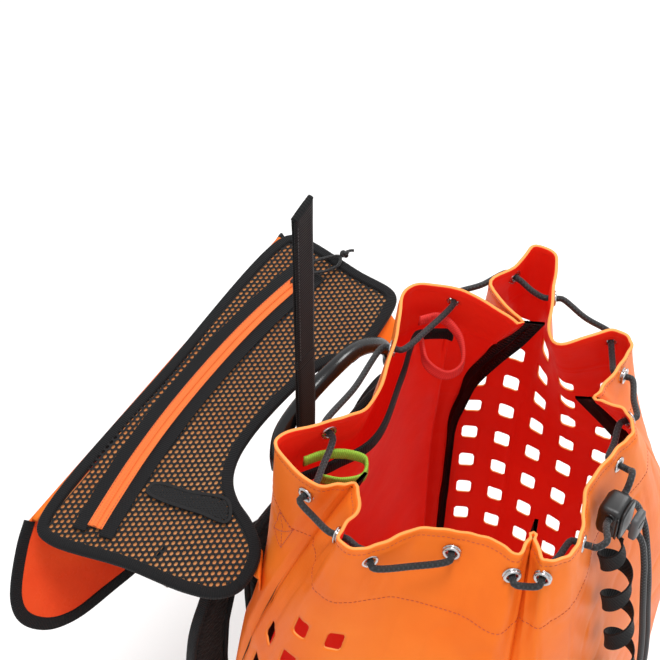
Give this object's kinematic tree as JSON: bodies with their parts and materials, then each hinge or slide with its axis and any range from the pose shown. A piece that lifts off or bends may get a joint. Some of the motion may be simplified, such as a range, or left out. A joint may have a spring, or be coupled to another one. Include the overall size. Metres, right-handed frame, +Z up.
{
  "type": "throw rope bag",
  "caption": "Open-topped rope pack in coated tarpaulin: gathered drawstring mouth with eyelets, cord lock, lid with net pocket thrown open behind, haul handle and shoulder straps.",
  "frame": {"origin": "middle of the base's underside, on the ground", "axes": "+X across the wearer's back, +Y towards the wearer's side (shoulder straps), +Z up out of the mouth"},
  "size_m": [0.4489, 0.4561, 0.755],
  "materials": {
    "binding_tape": "black ribbed binding tape, matt",
    "black_plastic": "black moulded plastic",
    "cord": "dark braided cord, slight sheen",
    "divider_fabric": "red coated fabric, satin",
    "eyelet_metal": "plated, worn",
    "green_webbing": "lime green tubular webbing, matt",
    "grey_plastic": "grey moulded plastic",
    "handle_tube": "black smooth tube, glossy",
    "hook_metal": "bright wire",
    "lid_tarpaulin": "orange coated tarpaulin, satin, underside showing",
    "net": "black netting, matt",
    "padding": "black padded fabric, matt",
    "red_webbing": "red tubular webbing, matt",
    "tarpaulin": "orange coated tarpaulin, satin, gently puckered",
    "webbing": "black woven webbing, matt",
    "zip_tape": "orange woven zip tape, matt"
  },
  "bodies": {
    "sack": {"side_panel_left": "tarpaulin", "front_panel": "tarpaulin", "side_panel_right": "tarpaulin", "back_panel": "tarpaulin", "base_panel": "tarpaulin", "seam_binding_back_left": "binding_tape", "seam_binding_front_left": "binding_tape", "seam_binding_front_right": "binding_tape", "seam_binding_back_right": "binding_tape", "divider_panel": "divider_fabric", "divider_binding": "binding_tape", "eyelet_01": "eyelet_metal", "eyelet_02": "eyelet_metal", "eyelet_03": "eyelet_metal", "eyelet_04": "eyelet_metal", "eyelet_05": "eyelet_metal", "eyelet_06": "eyelet_metal", "eyelet_07": "eyelet_metal", "eyelet_08": "eyelet_metal", "eyelet_09": "eyelet_metal", "eyelet_10": "eyelet_metal", "eyelet_11": "eyelet_metal", "eyelet_12": "eyelet_metal", "eyelet_13": "eyelet_metal", "eyelet_14": "eyelet_metal", "eyelet_15": "eyelet_metal", "eyelet_16": "eyelet_metal", "drawstring": "cord", "drawstring_lead_left": "cord", "drawstring_lead_right": "cord", "coiled_tape": "webbing", "back_pad": "padding", "haul_strap_base": "webbing", "shoulder_strap_left": "padding", "shoulder_strap_right": "padding", "lower_strap_left": "webbing", "lower_strap_right": "webbing"},
    "haul_strap_end": {"haul_strap_end": "webbing"},
    "haul_handle": {"haul_handle": "handle_tube"},
    "cord_lock": {"cord_lock_body": "black_plastic", "cord_tail_left": "cord", "cord_tail_right": "cord"},
    "cord_lock_button": {"cord_lock_button": "grey_plastic"},
    "red_gear_loop": {"red_gear_loop": "red_webbing"},
    "green_gear_loop": {"green_gear_loop": "green_webbing"},
    "ladder_lock_left": {"ladder_lock_left": "black_plastic"},
    "ladder_lock_right": {"ladder_lock_right": "black_plastic"},
    "lid": {"lid_panel": "lid_tarpaulin", "lid_mesh_pocket": "net", "lid_binding": "binding_tape", "zip_tape": "zip_tape", "lid_elastic_strip": "net", "hook_tab": "webbing"},
    "apron": {"lid_apron": "lid_tarpaulin", "apron_binding": "binding_tape"},
    "zip_slider": {"zip_slider": "black_plastic"},
    "zip_pull": {"zip_pull": "cord"},
    "lid_hook": {"lid_hook": "hook_metal"}
  },
  "joints": [
    {"name": "lid_hinge", "type": "hinge", "parent": "sack", "child": "lid", "pos_m": [-0.024, 0.158, 0.4925], "axis": [0.9918, 0, 0.1279], "range_deg": [0, 60]},
    {"name": "apron_fold", "type": "hinge", "parent": "lid", "child": "apron", "pos_m": [-0.02387, 0.296, 0.49151], "axis": [0.9918, 0, 0.1279], "range_deg": [-10, 95]},
    {"name": "zip_slide", "type": "hinge", "parent": "lid", "child": "zip_slider", "pos_m": [-0.024, -0.555, 0.4925], "axis": [-0.1279, 0, 0.9918], "range_deg": [0, 18.6]},
    {"name": "zip_pull_lift", "type": "hinge", "parent": "zip_slider", "child": "zip_pull", "pos_m": [0.11538, 0.24906, 0.52046], "axis": [0, -1, 0], "range_deg": [0, 80]},
    {"name": "hook_swing", "type": "hinge", "parent": "lid", "child": "lid_hook", "pos_m": [-0.16861, 0.188, 0.45671], "axis": [0.9918, 0, 0.1279], "range_deg": [-40, 40]},
    {"name": "haul_strap_fold", "type": "hinge", "parent": "sack", "child": "haul_strap_end", "pos_m": [-0.04, 0.14, 0.606], "axis": [1, 0, 0], "range_deg": [0, 90]},
    {"name": "haul_handle_tilt", "type": "hinge", "parent": "sack", "child": "haul_handle", "pos_m": [0.01, 0.145, 0.492], "axis": [1, 0, 0], "range_deg": [-20, 0]},
    {"name": "cord_lock_slide", "type": "slide", "parent": "sack", "child": "cord_lock", "axis": [0, -0.2, -0.9798], "range_m": [0, 0.025], "deforming": ["coiled_tape", "drawstring_lead_left", "drawstring_lead_right"]},
    {"name": "cord_lock_press", "type": "slide", "parent": "cord_lock", "child": "cord_lock_button", "axis": [0, 1, 0], "range_m": [0, 0.003], "stiffness_N_per_m": 900, "springref_m": -0.002},
    {"name": "red_loop_tilt", "type": "hinge", "parent": "sack", "child": "red_gear_loop", "pos_m": [0.067, 0.103, 0.576], "axis": [1, 0, 0], "range_deg": [0, 9]},
    {"name": "green_loop_tilt", "type": "hinge", "parent": "sack", "child": "green_gear_loop", "pos_m": [-0.104, 0.098, 0.576], "axis": [1, 0, 0], "range_deg": [0, 10]},
    {"name": "ladder_lock_left_tilt", "type": "hinge", "parent": "sack", "child": "ladder_lock_left", "pos_m": [-0.142, 0.167, 0.174], "axis": [1, 0, 0], "range_deg": [-25, 25]},
    {"name": "ladder_lock_right_tilt", "type": "hinge", "parent": "sack", "child": "ladder_lock_right", "pos_m": [0.142, 0.167, 0.174], "axis": [1, 0, 0], "range_deg": [-25, 25]}
  ]
}
